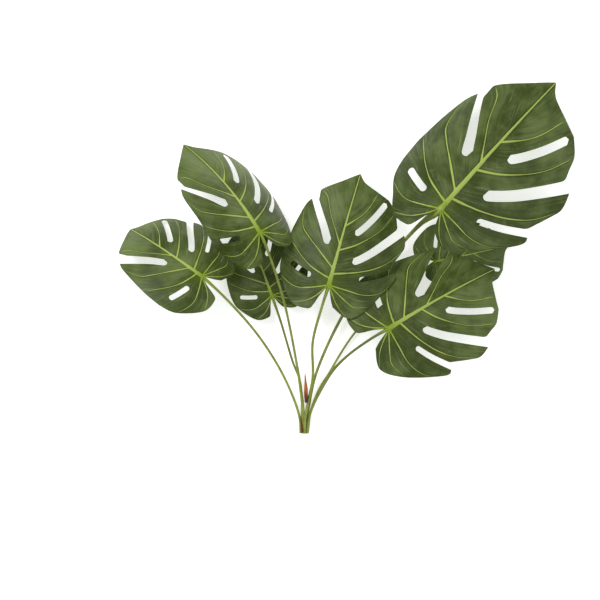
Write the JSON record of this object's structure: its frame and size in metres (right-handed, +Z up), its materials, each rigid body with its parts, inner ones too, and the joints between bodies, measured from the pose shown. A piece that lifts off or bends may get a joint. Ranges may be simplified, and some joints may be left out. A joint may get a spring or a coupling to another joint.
{
  "type": "artificial monstera leaf spray",
  "caption": "Spray of split monstera leaves on long stalks joined at one foot, lying flat, with a new-leaf sheath and a dry foot scale.",
  "frame": {"origin": "centre of the bounding box on the plane the spray lies on", "axes": "+Z up from the plane the spray lies on, +X across the spray along its longest side, +Y from the foot towards the leaf tips"},
  "size_m": [0.7206, 0.5565, 0.1271],
  "materials": {
    "leaf": "satin coated leaf, dark green with yellow-green veins",
    "stalk": "satin moulded stalk, yellow-green",
    "sheath": "matt, orange to red-brown",
    "scale": "matt, dark brown"
  },
  "bodies": {
    "root": {"leaf_far_left": "leaf", "leaf_upper_left": "leaf", "leaf_inner_left": "leaf", "leaf_centre": "leaf", "leaf_top_right": "leaf", "leaf_hidden_right": "leaf", "leaf_lower_right": "leaf", "stalk_far_left": "stalk", "stalk_upper_left": "stalk", "stalk_inner_left": "stalk", "stalk_centre": "stalk", "stalk_top_right": "stalk", "stalk_hidden_right": "stalk", "stalk_lower_right": "stalk", "new_leaf_sheath": "sheath", "foot_scale": "scale"}
  },
  "joints": []
}
